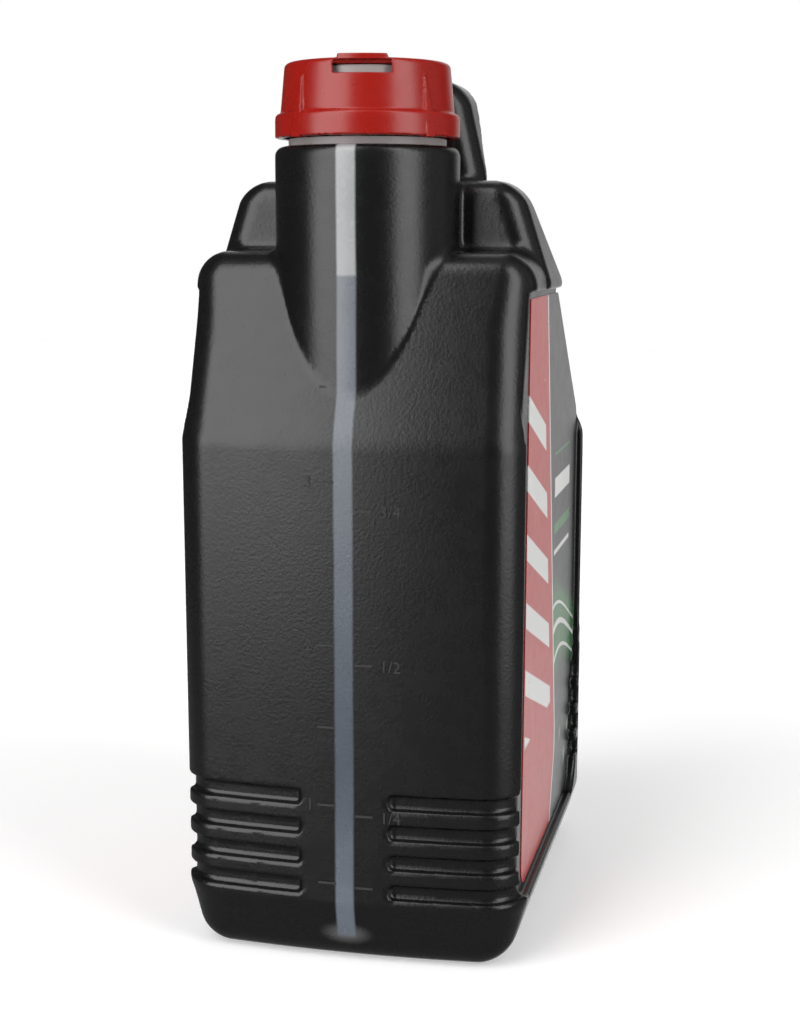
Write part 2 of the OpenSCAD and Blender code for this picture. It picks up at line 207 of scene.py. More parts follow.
class JugStage(bpy.types.PropertyGroup):
    """Camera, studio light and floor."""

    focus: number("Focal length in pixels", "Focal length for a picture 1024 pixels high", 1726.6)
    camera_x: length("Camera X", "Camera position along X", -626.58)
    camera_y: length("Camera Y", "Camera position along Y", -142.69)
    camera_z: length("Camera Z", "Camera position along Z", 249.5)
    yaw: bpy.props.FloatProperty(name="Yaw", description="Turn from +X towards +Y", default=0.2240)
    pitch: bpy.props.FloatProperty(name="Pitch", description="Tilt downwards", default=0.1625)
    roll: bpy.props.FloatProperty(name="Roll", description="Roll about the view", default=0.0015)
    key: number("Left light", "Brightness of the studio's left light panel", 3.7)
    side: number("Right light", "Brightness of the right light panel", 3.5)
    tail: number("Far right light", "Brightness of the wall beside the right panel", 0.2)
    behind: number("Back wall", "Brightness of the white wall behind the jug", 0.58)
    ceiling: number("Ceiling", "Brightness of the ceiling", 0.2)
    ground: number("Ground", "Brightness of the ground in reflections", 0.15)
    dark: number("Dark studio", "Brightness of the rest of the studio", 0.04)
    top: number("Top softbox", "Power of the softbox overhead, in watts", 3.5)
    floor: colour("Floor", "Pale floor", (0.80, 0.80, 0.80))
    floor_lift: number("Floor lift", "How much whiter the camera sees the floor", 0.36)


GROUPS = {"jug_body": JugBody, "jug_top": JugTop, "jug_marks": JugMarks, "jug_cap": JugCap,
          "jug_finish": JugFinish, "jug_stage": JugStage}


def sizes(group_name):
    """A property group's values, with its lengths in millimetres."""
    group = getattr(bpy.context.scene, group_name)
    found = SimpleNamespace()
    for name in GROUPS[group_name].__annotations__:
        value = getattr(group, name)
        if group.bl_rna.properties[name].subtype == "DISTANCE":
            value = value / MM
        setattr(found, name, value)
    return found


# Solids as signed fields in millimetres: negative inside, zero on the surface

def edge(a, b, radius, turn=math.pi / 2):
    """Inside both a and b, with the edge rounded; turn is the angle between their outward normals."""
    c = math.cos(turn)
    p, q = a + radius, b + radius
    arc = np.sqrt(np.maximum(p * p + q * q - 2 * c * p * q, 0) / (1 - c * c)) - radius
    return np.where((p > c * q) & (q > c * p), arc, np.maximum(a, b))


def joined(a, b, radius):
    """Inside a or b, with a fillet of that radius where they meet squarely."""
    return -edge(-a, -b, radius)


def without(a, b, radius):
    """Inside a and outside b, with the rim rounded."""
    return edge(a, -b, radius)


def ramp(value, start, end):
    """0 before start, 1 after end, smooth between."""
    t = np.clip((value - start) / (end - start), 0, 1)
    return t * t * (3 - 2 * t)


def body_sizes():
    """Every size of the bottle, with the places worked out from the frame."""
    s = sizes("jug_body")
    s.__dict__.update(sizes("jug_top").__dict__)
    s.x0, s.x1 = BOTTLE_LOW.x / MM, BOTTLE_HIGH.x / MM
    s.half = BOTTLE_HIGH.y / MM
    s.neck_x = NECK_X / MM
    s.mouth_z = INNER_HIGH.z / MM - 3.0
    s.cut_end = s.x1 - (s.step_z - s.cut_z) / math.tan(s.cut)
    s.cut_lean = math.pi / 2 - s.cut
    s.high_x = s.x0 + s.high_x0
    s.high_far = s.high_x + s.high_w
    s.hole_x = s.grip_x + s.grip_t - 2
    return s


def plane(u, v, u0, v0, slope):
    """Outside a plane through (u0, v0) whose outward normal leans by slope from +u towards +v."""
    return (u - u0) * math.cos(slope) + (v - v0) * math.sin(slope)


def ends_field(s, x, y, z):
    """The two ends, the cut corner, the first shoulder's top and the base."""
    bulge = s.end_bulge * (y / s.half) ** 2
    near, far = s.x0 + bulge - x, x - s.x1 + bulge
    draw = s.end_draw * np.clip((s.crease_z - z) / (s.crease_z - s.bevel_h), 0, 1)
    taper = math.atan(s.bevel_end / s.bevel_h)
    top, base = z - s.step_z, -z
    n = edge(near + draw, plane(near, z, 0, s.crease_z, s.lean), s.crease_r, s.lean)
    n = edge(n, plane(near, -z, -s.end_draw, -s.bevel_h, taper), 14, taper)
    n = edge(n, top, s.step_r, math.pi / 2 - s.lean)
    n = edge(n, base, s.base_r, math.pi / 2 - taper)
    f = edge(far + draw, plane(far, z, 0, s.cut_z, s.cut_lean), 12, s.cut_lean)
    f = edge(f, plane(far, -z, -s.end_draw, -s.bevel_h, taper), 14, taper)
    f = edge(f, top, 8, s.cut)
    f = edge(f, base, s.base_r, math.pi / 2 - taper)
    return np.maximum(n, f)


def side_field(s, y, z):
    """The front and the back face, which draw in above the crease and at the base."""
    wall = np.abs(y) - s.half
    lean = math.atan(s.side_in / (s.step_z - s.crease_z))
    taper = math.atan(s.bevel_in / s.bevel_h)
    w = edge(wall, plane(wall, z, 0, s.crease_z, lean), 60, lean)
    return edge(w, plane(wall, -z, 0, -s.bevel_h, taper), 14, taper)


def body_field(s, x, y, z):
    """The body without its top works, panels or grooves."""
    on_cut = plane(x, z, s.x1, s.cut_z, s.cut_lean)
    cut_place = ramp(on_cut, -22, -2) * ramp(z, s.cut_z - 20, s.cut_z)
    radius = s.corner_r + (s.step_r - s.corner_r) * ramp(z, s.step_z - 26, s.step_z - 4)
    radius = radius + (s.base_r - s.corner_r) * (1 - ramp(z, 4, s.bevel_h))
    radius = radius + (s.cut_r - radius) * cut_place
    return edge(ends_field(s, x, y, z), side_field(s, y, z), radius)


def high_field(s, x, y, z):
    """The high shoulder: upright towards the neck, steep towards the handle, drawn in at its sides."""
    top = z - s.high_z
    foot = s.ledge_z + 3
    slope = math.atan2(s.high_w - s.high_top, s.high_z - foot)
    back = plane(x, z, s.high_far, foot, slope)
    p = np.maximum(edge(s.high_x - x, top, s.high_r), edge(back, top, s.high_r + 4, math.pi / 2 - slope))
    p = edge(p, x - s.high_far, 3, slope)
    wall = np.abs(y) - (s.half - 0.4)
    lean = math.atan(s.high_in / (s.high_z - foot))
    side = edge(wall, plane(wall, z, 0, foot, lean), 8, lean)
    side = edge(side, s.ledge_z - 12 - z, 2)
    return edge(p, side, s.high_r + 1)


def neck_field(s, x, y, z):
    """The neck column."""
    wall = np.hypot(x - s.neck_x, y) - s.neck_r
    return np.maximum(edge(wall, z - s.neck_z, s.neck_edge), s.crease_z - 12 - z)


def grip_field(s, x, y, z):
    """The handle with its finger hole."""
    slope = s.cut_lean
    top = z - s.grip_z
    bend = s.grip_x + s.grip_top
    outer = edge(edge(top, plane(x, z, bend, s.grip_z, slope), 34, s.cut), s.grip_x - x, s.grip_r)
    outer = edge(outer, x - (s.x1 - 0.3), 26, slope)
    inner_top = s.grip_z - s.grip_t
    inner_bend = s.hole_x + s.grip_top * 0.6
    right = s.x1 - s.grip_t
    hole = edge(z - inner_top, plane(x, z, inner_bend, inner_top, slope), 18, s.cut)
    hole = edge(hole, s.hole_x - x, s.hole_r)
    hole = edge(hole, x - right, s.hole_r, slope)
    floor = -plane(x, z, s.cut_end, s.step_z, slope) + 0.2
    hole = np.maximum(hole, floor - 3)
    profile = np.maximum(outer, -hole)
    profile = np.maximum(profile, s.cut_z - 25 - z)
    by_height = s.root_half + (s.top_half - s.root_half) * (z - s.high_z) / (s.grip_z - s.high_z)
    taper_x0, taper_x1 = s.grip_x + s.root_w, s.hole_x + s.root_w
    by_x = s.root_half + (s.grip_half - s.root_half) * ramp(x, taper_x0 - 9, taper_x1 + 9)
    return edge(profile, np.abs(y) - np.minimum(by_height, by_x), s.grip_r - 0.5)


def panel_field(s, x, y, z):
    """One sunk panel on each side, with its stepped far edge over the grooved corner."""
    rib_x = s.x1 - s.far_rib_w
    rib_z = s.panel_z0 + s.groove_n * s.groove_pitch
    wide = edge(edge(s.x0 + s.panel_x0 - x, s.panel_z0 - z, 12), z - s.ledge_z, 3)
    wide = edge(wide, x - (s.x1 - s.panel_x1), 8)
    cut_gap = (s.panel_x1 - 8) * math.sin(s.cut) + 4
    on_cut = plane(x, z, s.x1, s.cut_z, s.cut_lean)
    wide = edge(wide, on_cut + cut_gap, 8, s.cut_lean)
    rise = math.atan2(14, s.far_rib_w - s.panel_x1)
    rib = edge(rib_x - x, plane(x, z, rib_x, rib_z, math.pi / 2 + rise), 7, math.pi / 2 + rise)
    outline = edge(wide, -rib, 16)
    return edge(outline, s.half - s.panel_d - np.abs(y), 0.8)


def groove_field(s, x, y, z, skin):
    """The grooves round the near corners, and a pitch higher those in the panels' far wall."""
    row = (z - s.groove_z0) / s.groove_pitch
    near_row, far_row = np.clip(np.round(row), 0, s.groove_n - 1), np.clip(np.round(row), 1, s.groove_n)
    near_z = np.abs(z - s.groove_z0 - near_row * s.groove_pitch) - s.groove_h / 2
    far_z = np.abs(z - s.groove_z0 - far_row * s.groove_pitch) - s.groove_h / 2 - 0.5
    near_reach = np.maximum(s.groove_half - np.abs(y), x - (s.x0 + s.panel_x0 + s.groove_run))
    near = edge(edge(near_z, -(skin + s.groove_d), 1.4), near_reach, 2.0)
    wall = s.x1 - s.far_rib_w
    far_reach = np.maximum(wall - 3 - x, x - wall - s.far_run)
    far = edge(edge(far_z, -(skin + s.panel_d), 1.6), far_reach, 1.6)
    return np.minimum(near, far)


def hollow_field(s, x, y, z):
    """The hollow under the base."""
    plan = edge(np.abs(x) - (s.x1 - s.foot_w), np.abs(y) - (s.half - s.foot_w), 12)
    return edge(plan, z - s.push_up, 2.5)


def bottle_field(s, x, y, z):
    """The whole outside of the bottle below its threaded mouth."""
    body = body_field(s, x, y, z)
    square = 0.05 + s.shoulder_fillet * ramp(s.half - np.abs(y), 2.5, 12)
    form = joined(body, high_field(s, x, y, z), square)
    handle_fillet = 0.05 + s.grip_fillet * ramp(s.x1 - x, 2, 16)
    form = joined(form, grip_field(s, x, y, z), handle_fillet)
    crisp = s.neck_crease + (s.neck_fillet - s.neck_crease) * ramp(z, s.step_z - 18, s.step_z - 2)
    form = joined(form, neck_field(s, x, y, z), crisp)
    form = without(form, panel_field(s, x, y, z), 1.6)
    form = without(form, groove_field(s, x, y, z, body), 1.0)
    return without(form, hollow_field(s, x, y, z), 2.0)


# Meshes from fields

def graded(stops):
    """Grid places from (start, spacing) pairs; the last start ends the grid."""
    places = []
    for (start, step), (end, _) in zip(stops[:-1], stops[1:]):
        count = max(1, round((end - start) / step))
        places.extend(start + (end - start) * k / count for k in range(count))
    return np.array([*places, stops[-1][0]])


def surface_net(field, grid):
    """Vertices and outward quads where a sampled field crosses zero on a box grid."""
    inside = field < 0
    cells = tuple(n - 1 for n in field.shape)
    corner = {(i, j, k): (slice(i, i + cells[0]), slice(j, j + cells[1]), slice(k, k + cells[2]))
              for i in (0, 1) for j in (0, 1) for k in (0, 1)}
    count = sum(inside[c].astype(np.int8) for c in corner.values())
    mixed = (count > 0) & (count < 8)
    index = np.full(cells, -1, np.int64)
    index[mixed] = np.arange(int(mixed.sum()))
    at = np.argwhere(mixed)
    total, crossings = np.zeros((len(at), 3)), np.zeros(len(at))
    for axis in range(3):
        step = np.eye(3, dtype=int)[axis]
        others = [a for a in range(3) if a != axis]
        for first in (0, 1):
            for second in (0, 1):
                low = at.copy()
                low[:, others[0]] += first
                low[:, others[1]] += second
                high = low + step
                a, b = field[tuple(low.T)], field[tuple(high.T)]
                cross = (a < 0) != (b < 0)
                share = np.where(cross, a / np.where(cross, a - b, 1), 0)
                p = np.stack([grid[d][low[:, d]] for d in range(3)], 1)
                q = np.stack([grid[d][high[:, d]] for d in range(3)], 1)
                total += np.where(cross[:, None], p + (q - p) * share[:, None], 0)
                crossings += cross
    vertices = total / crossings[:, None]
    quads = []
    for axis in range(3):
        u, v = np.eye(3, dtype=int)[(axis + 1) % 3], np.eye(3, dtype=int)[(axis + 2) % 3]
        a = np.take(inside, range(field.shape[axis] - 1), axis=axis)
        b = np.take(inside, range(1, field.shape[axis]), axis=axis)
        at = np.argwhere(a != b)
        keep = np.all((at - u - v) >= 0, axis=1) & np.all(at < np.array(cells), axis=1)
        at = at[keep]
        outward = a[tuple(at.T)]
        ring = [index[tuple((at - shift).T)] for shift in (u + v, v, 0 * u, u)]
        ring = np.stack(ring, 1)
        quads.append(np.where(outward[:, None], ring, ring[:, ::-1]))
    return vertices, np.concatenate(quads)


def gradient(field, points, step=0.04):
    """The field's slope at points."""
    found = np.zeros_like(points)
    for axis in range(3):
        move = np.eye(3)[axis] * step
        found[:, axis] = (field(*(points + move).T) - field(*(points - move).T)) / (2 * step)
    return found


def settle(field, points, rounds=4, most=0.6):
    """Moves points onto the field's zero surface, and gives their normals."""
    for _ in range(rounds):
        slope = gradient(field, points)
        move = field(*points.T)[:, None] * slope / np.maximum((slope ** 2).sum(1), 0.05)[:, None]
        distance = np.linalg.norm(move, axis=1, keepdims=True)
        points = points - move * np.minimum(1, most / np.maximum(distance, 1e-9))
    slope = gradient(field, points, 0.15)
    return points, slope / np.maximum(np.linalg.norm(slope, axis=1, keepdims=True), 1e-9)


def mesh_object(name, vertices, faces, normals=None, smooth=True):
    """A mesh object in the row frame from millimetre vertices."""
    mesh = bpy.data.meshes.new(name)
    mesh.from_pydata((np.asarray(vertices) * MM).tolist(), [], [list(map(int, f)) for f in faces])
    mesh.update()
    if smooth:
        mesh.shade_smooth()
    if normals is not None:
        mesh.normals_split_custom_set_from_vertices(np.asarray(normals).tolist())
    obj = bpy.data.objects.new(name, mesh)
    bpy.context.scene.collection.objects.link(obj)
    return obj


def field_mesh(name, field, grid):
    """A smooth mesh object of a field's zero surface."""
    x, y, z = grid
    samples = field(x[:, None, None], y[None, :, None], z[None, None, :])
    vertices, quads = surface_net(np.broadcast_to(samples, (len(x), len(y), len(z))), grid)
    vertices, normals = settle(field, vertices)
    return mesh_object(name, vertices, quads, normals)


def bottle_grid(s):
    """Grid places that are close together where the bottle has detail."""
    x = graded([(s.x0 - 1.5, 1.2), (s.x0 + 28, 1.7), (s.grip_x, 1.7), (s.high_far + 4, 2.3),
                (s.x1 - 29, 1.15), (s.x1 - 10, 1.5), (s.x1 + 1.5, 1)])
    y_half = graded([(0, 2.0), (s.groove_half - 3, 1.6), (s.root_half + 2, 2.0), (s.half - 15, 1.3),
                     (s.half - 5.5, 0.9), (s.half + 1.5, 1)])
    y = np.concatenate([-y_half[:0:-1], y_half])
    z = graded([(-1.5, 1.2), (12, 1.4), (19, 1.15), (s.groove_z0 + s.groove_n * s.groove_pitch + 4, 1.6),
                (84, 4.5), (s.crease_z - 6, 1.8), (s.step_z - 24, 1.25), (s.high_z + 3, 1.4),
                (s.grip_z + 1.5, 1)])
    return x, y, z


# Materials

def new_material(name):
    """A material with its Principled shader and output."""
    material = bpy.data.materials.new(name)
    material.use_nodes = True
    return material, material.node_tree.nodes["Principled BSDF"]


class Nodes:
    """Adds nodes to a tree and links them by short calls."""

    def __init__(self, tree):
        self.tree = tree

    def add(self, kind, inputs=None, **values):
        """A node with its settings; inputs maps a socket's name or place to a value or an output."""
        node = self.tree.nodes.new(kind)
        for name, value in values.items():
            setattr(node, name, value)
        for name, value in (inputs or {}).items():
            self.feed(node.inputs[name], value)
        return node

    def feed(self, socket, value):
        """Links an output to a socket, or sets the socket's own value."""
        if isinstance(value, bpy.types.NodeSocket):
            self.tree.links.new(value, socket)
        else:
            socket.default_value = value

    def math(self, operation, a, b=0.0, c=0.0, clamp=False):
        """A Math node's output."""
        node = self.add("ShaderNodeMath", {0: a, 1: b, 2: c}, operation=operation, use_clamp=clamp)
        return node.outputs[0]

    def mix(self, share, a, b):
        """A colour mix of a and b."""
        node = self.add("ShaderNodeMix", data_type="RGBA")
        self.feed(node.inputs["Factor"], share)
        self.feed(node.inputs[6], a if isinstance(a, bpy.types.NodeSocket) else (*a[:3], 1))
        self.feed(node.inputs[7], b if isinstance(b, bpy.types.NodeSocket) else (*b[:3], 1))
        return node.outputs[2]

    def step(self, value, low, high):
        """0 where value is under low, 1 over high, smooth between."""
        node = self.add("ShaderNodeMapRange", {0: value, 1: low, 2: high}, interpolation_type="SMOOTHSTEP")
        return node.outputs[0]

    def under(self, value, low, high):
        """1 where value is under low, 0 over high, smooth between."""
        return self.minus(1.0, self.step(value, low, high))

    def within(self, value, low, high, soft):
        """1 where value lies between low and high, with soft edges just inside them."""
        return self.times(self.step(value, low, low + soft), self.under(value, high - soft, high))

    def times(self, a, b):
        """a times b."""
        return self.math("MULTIPLY", a, b)

    def plus(self, a, b):
        """a plus b."""
        return self.math("ADD", a, b)

    def minus(self, a, b):
        """a minus b."""
        return self.math("SUBTRACT", a, b)

    def size_of(self, a):
        """The absolute value of a."""
        return self.math("ABSOLUTE", a)

    def scale(self, vector, factor):
        """A vector or colour times a number."""
        return self.add("ShaderNodeVectorMath", {0: vector, "Scale": factor}, operation="SCALE").outputs[0]

    def noise(self, scale, vector, detail=2.0, rough=0.5):
        """A noise texture's value."""
        node = self.add("ShaderNodeTexNoise",
                        {"Vector": vector, "Scale": scale, "Detail": detail, "Roughness": rough})
        return node.outputs["Fac"]

    def place(self):
        """Object coordinates, which are the row frame's metres."""
        return self.add("ShaderNodeTexCoord").outputs["Object"]

    def axes(self, vector):
        """The X, Y and Z of a vector."""
        return self.add("ShaderNodeSeparateXYZ", {0: vector}).outputs


def node_group(name, inputs, outputs):
    """An empty shader node group; inputs and outputs map names to socket types and defaults."""
    tree = bpy.data.node_groups.new(name, "ShaderNodeTree")
    for label, (kind, default) in inputs.items():
        socket = tree.interface.new_socket(label, in_out="INPUT", socket_type=kind)
        if default is not None:
            socket.default_value = default
    for label, kind in outputs.items():
        tree.interface.new_socket(label, in_out="OUTPUT", socket_type=kind)
    nodes = Nodes(tree)
    return tree, nodes, tree.nodes.new("NodeGroupInput").outputs, tree.nodes.new("NodeGroupOutput").inputs


def moulded_group():
    """Node group: the fine pebble, clouding and specks of a moulded plastic surface."""
    found = bpy.data.node_groups.get("Moulded surface")
    if found:
        return found
    floating = "NodeSocketFloat"
    tree, n, source, sink = node_group("Moulded surface", {
        "Colour": ("NodeSocketColor", (0.5, 0.5, 0.5, 1)), "Roughness": (floating, 0.4),
        "Pebble size": (floating, 1.0), "Pebble": (floating, 0.1), "Cloud": (floating, 0.1),
        "Specks": (floating, 0.0)},
        {"Colour": "NodeSocketColor", "Roughness": floating, "Normal": "NodeSocketVector"})
    place = n.place()
    pebble = n.noise(900.0, n.scale(place, source["Pebble size"]), 3.0, 0.6)
    cloud = n.noise(22.0, place, 4.0, 0.6)
    fine = n.noise(160.0, place, 3.0, 0.6)
    spread = n.times(n.minus(cloud, 0.5), source["Cloud"])
    light = n.plus(1.0, n.times(spread, 2.0))
    tinted = n.scale(source["Colour"], light)
    cells = n.add("ShaderNodeTexVoronoi", {"Vector": place, "Scale": 95.0, "Randomness": 1.0})
    chosen = n.step(n.axes(cells.outputs["Color"])[0], 0.955, 0.96)
    dot = n.under(cells.outputs["Distance"], 0.028, 0.045)
    speck = n.times(n.times(chosen, dot), source["Specks"])
    n.feed(sink["Colour"], n.mix(speck, tinted, (0.6, 0.6, 0.58)))
    rough = n.plus(source["Roughness"], n.times(n.minus(fine, 0.5), 0.12))
    n.feed(sink["Roughness"], n.plus(rough, spread))
    bump = n.add("ShaderNodeBump", {"Strength": source["Pebble"], "Distance": 0.0004, "Height": pebble})
    n.feed(sink["Normal"], bump.outputs[0])
    return tree


def moulded(n, shader, base, roughness, size=1.0, pebble=0.12, cloud=0.1, specks=0.0):
    """Feeds a shader with the moulded surface group."""
    group = n.add("ShaderNodeGroup")
    group.node_tree = moulded_group()
    base = base if isinstance(base, bpy.types.NodeSocket) else (*base, 1)
    values = {"Colour": base, "Roughness": roughness, "Pebble size": size, "Pebble": pebble,
              "Cloud": cloud, "Specks": specks}
    for label, value in values.items():
        n.feed(group.inputs[label], value)
    n.feed(shader.inputs["Base Color"], group.outputs["Colour"])
    n.feed(shader.inputs["Roughness"], group.outputs["Roughness"])
    n.feed(shader.inputs["Normal"], group.outputs["Normal"])
    return group


def bottle_material():
    """Black polyethylene with the see-through sight strip down the neck end; the strip's tones are the air or
    oil behind it, graded by height with painted shade and painted light.
    """
    f = sizes("jug_finish")
    material, shader = new_material("black_polyethylene")
    n = Nodes(material.node_tree)
    place = n.place()
    x, y, z = n.axes(place)
    wobble = n.times(n.minus(n.noise(18.0, place), 0.5), 0.0012)
    off = n.size_of(n.minus(n.plus(y, wobble), -0.0002))
    across = n.under(off, 0.0026, 0.0037)
    near = n.under(x, -0.052, -0.050)
    strip = n.times(n.times(across, near), n.step(z, 0.0085, 0.0105))
    oil_top = OIL_HIGH.z
    wet = n.under(z, oil_top - 0.0005, oil_top + 0.0008)
    # Painted shade: the strip darkens from just under the oil's level down to 6 cm
    depth = n.step(z, 0.06, oil_top)
    under = n.mix(depth, f.strip_low, f.strip_wet)
    # Painted light: the strip lightens again towards its foot
    under = n.mix(n.under(z, 0.012, 0.075), under, (0.13, 0.15, 0.18))
    clear = n.mix(wet, f.strip_dry, under)
    streak = n.plus(0.86, n.times(n.noise(60.0, place, 3.0), 0.28))
    clear = n.scale(clear, streak)
    # Painted glow: a pale grey patch in the black round the foot of the sight strip
    glow_y = n.times(y, 0.45)
    glow_z = n.minus(z, 0.0105)
    painted_glow = n.plus(n.times(glow_y, glow_y), n.times(glow_z, glow_z))
    painted_glow = n.math("SQRT", painted_glow)
    painted_glow = n.times(n.under(painted_glow, 0.0008, 0.0048), near)
    black = n.mix(n.times(painted_glow, 0.35), f.black, (0.25, 0.25, 0.25))
    moulded(n, shader, n.mix(strip, black, clear), 0.27, 1.0, 0.16, 0.08, 0.5)
    shader.inputs["Specular IOR Level"].default_value = 0.5
    return material


def plain_material(name, base, roughness, **more):
    """A moulded plastic of one colour; its coat and subsurface weights come as plain values."""
    material, shader = new_material(name)
    n = Nodes(material.node_tree)
    for key, label in (("coat", "Coat Weight"), ("under", "Subsurface Weight")):
        if key in more:
            shader.inputs[label].default_value = more.pop(key)
    moulded(n, shader, base, roughness, **more)
    return material


def set_material(obj, material):
    """Gives an object one material."""
    obj.data.materials.clear()
    obj.data.materials.append(material)


# Pieces

def mouth_mesh(s):
    """Rings of the threaded mouth, as points of a grid of angle by profile."""
    turns, pitch = 96, 5.0
    bore = s.mouth_r - s.mouth_wall
    low, high = s.neck_z - 1.5, s.mouth_z
    outer = [(s.mouth_r, z) for z in np.linspace(low, high - 1.0, 46)]
    rim = [(s.mouth_r - 0.3, high - 0.35), (s.mouth_r - 0.9, high),
           (bore + 0.9, high), (bore + 0.3, high - 0.35)]
    inner = [(bore, high - 1.0), (bore, low - 3)]
    profile = [*outer, *rim, *inner]
    vertices = []
    for k in range(turns):
        a = 2 * math.pi * k / turns
        for i, (r, z) in enumerate(profile):
            if i < len(outer):
                phase = ((z - high) / pitch + k / turns) % 1.0
                inside = ramp(z, low + 3, low + 5) * (1 - ramp(z, high - 4.5, high - 2.5))
                r = r + s.bead * inside * max(0.0, 1 - abs(phase - 0.5) / 0.28) ** 0.7
            vertices.append((s.neck_x + r * math.cos(a), r * math.sin(a), z))
    m = len(profile)
    faces = [(k * m + i, ((k + 1) % turns) * m + i, ((k + 1) % turns) * m + i + 1, k * m + i + 1)
             for k in range(turns) for i in range(m - 1)]
    return vertices, faces


class JUG_OT_bottle(bpy.types.Operator):
    """Builds the blown bottle: body, shoulders, neck, handle and threaded mouth"""

    bl_idname = "jug.bottle"
    bl_label = "Bottle"

    def execute(self, context):
        s = body_sizes()

        def field(x, y, z):
            well = np.maximum(np.hypot(x - s.neck_x, y) - (s.mouth_r - s.mouth_wall), OIL_HIGH.z / MM - z)
            return np.maximum(bottle_field(s, x, y, z), -well)

        bottle = field_mesh("bottle_body", field, bottle_grid(s))
        vertices, faces = mouth_mesh(s)
        mouth = mesh_object("bottle_mouth", vertices, faces)
        material = bottle_material()
        for piece in (bottle, mouth):
            set_material(piece, material)
            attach(piece, "jug")
        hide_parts("bottle")
        return {"FINISHED"}


def face_x(s, y, z):
    """Where the near face lies at (y, z), found by halving."""
    low, high = np.full(np.shape(y), s.x0 - 2.0), np.full(np.shape(y), s.x0 + 30.0)
    for _ in range(24):
        middle = (low + high) / 2
        outside = body_field(s, middle, y, z) > 0
        low, high = np.where(outside, middle, low), np.where(outside, high, middle)
    return low


def block(y0, y1, z0, z1):
    """A flat bar's outline and faces, as (along, height, layer) places; layer 0 lies in the wall."""
    steps = max(1, round(abs(y1 - y0) / 2))
    ring = [(y0 + (y1 - y0) * k / steps, z0) for k in range(steps + 1)]
    ring += [(y1 + (y0 - y1) * k / steps, z1) for k in range(steps + 1)]
    n, top = len(ring), steps + 1
    places = [(*p, layer) for layer in (0, 1) for p in ring]
    faces = [(k, (k + 1) % n, n + (k + 1) % n, n + k) for k in range(n)]
    faces += [(n + k, n + k + 1, n + 2 * top - 2 - k, n + 2 * top - 1 - k) for k in range(steps)]
    return places, faces


def numeral(text, size):
    """A number's mesh, as (along, height, layer) places, from the built-in font."""
    curve = bpy.data.curves.new("numeral", "FONT")
    curve.body, curve.size, curve.extrude, curve.resolution_u = text, size, 1.0, 2
    carrier = bpy.data.objects.new("numeral", curve)
    mesh = carrier.to_mesh()
    places = [(v.co.x, v.co.y, 1.0 if v.co.z > 0 else 0.0) for v in mesh.vertices]
    faces = [tuple(p.vertices) for p in mesh.polygons]
    carrier.to_mesh_clear()
    bpy.data.objects.remove(carrier)
    bpy.data.curves.remove(curve)
    return places, faces


# Heights of the ticks, and each number with its place along Y and its height, in millimetres
LEFT_TICKS = (198.4, 167.5, 139.1, 112.6, 84.3, 57.0, 29.3)
RIGHT_TICKS = (213.8, 158.3, 106.2, 53.8, 28.3)
FIGURES = (("3", 13.2, 167.5), ("2", 13.2, 112.6), ("1", 13.2, 57.0), ("1", -22.0, 213.8),
           ("3/4", -12.6, 158.3), ("1/2", -12.6, 106.2), ("1/4", -12.6, 53.8))


class JUG_OT_graduations(bpy.types.Operator):
    """Raises the graduation ticks and their plain numbers on the near face"""

    bl_idname = "jug.graduations"
    bl_label = "Graduations"

    def execute(self, context):
        s = body_sizes()
        g = sizes("jug_marks")
        parts = []
        for z in LEFT_TICKS:
            parts.append(block(g.left, g.left + g.tick, z - g.line / 2, z + g.line / 2))
        for z in RIGHT_TICKS:
            parts.append(block(g.right - g.tick, g.right, z - g.line / 2, z + g.line / 2))
        for text, y, z in FIGURES:
            places, faces = numeral(text, g.figure)
            parts.append(([(y - u, z + v - g.figure * 0.35, layer) for u, v, layer in places], faces))
        vertices, faces = [], []
        for places, polygons in parts:
            faces.extend(tuple(len(vertices) + k for k in polygon) for polygon in polygons)
            vertices.extend(places)
        y, z, layer = np.array(vertices).T
        x = face_x(s, y, z) + g.root - (g.root + g.rise) * layer
        marks = mesh_object("bottle_marks", np.stack([x, y, z], 1), faces, smooth=False)
        set_material(marks, bpy.data.materials["black_polyethylene"])
        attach(marks, "jug")
        return {"FINISHED"}


class JUG_OT_oil(bpy.types.Operator):
    """Fills the bottle with oil up to its level"""

    bl_idname = "jug.oil"
    bl_label = "Oil"

    def execute(self, context):
        f = sizes("jug_finish")
        s = body_sizes()
        top = OIL_HIGH.z / MM

        def field(x, y, z):
            return np.maximum(bottle_field(s, x, y, z) + s.skin, z - top)

        x = graded([(s.x0, 4.0), (s.x1, 1)])
        y = graded([(-s.half, 4.0), (s.half, 1)])
        z = graded([(0, 2.65), (84, 4.5), (top - 8, 2.0), (top + 1.5, 1)])
        oil = field_mesh("oil_filling", field, (x, y, z))
        set_material(oil, plain_material("motor_oil", f.oil, 0.05, pebble=0.0, coat=1.0))
        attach(oil, "jug")
        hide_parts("oil")
        return {"FINISHED"}


# The label's design in metres: the stripe's border, the slanted bars, the waves and the short bands
STRIPE_TOP = 0.223
STRIPE_EDGE = 0.0682
STRIPE_SLOPE = 0.206
STRIPE_KICK = 0.020
BAR_PITCH = 0.0235
BAR_SLANT = 0.35
WAVE_Z = 0.088
WAVE_RISE = 0.012
WAVE_LINES = ((0.0, 0.0016), (0.0085, 0.0009), (-0.011, 0.0011))
BAND_START = 0.094
BAND_END = 0.1366
EDGE_BLUR = 0.0006


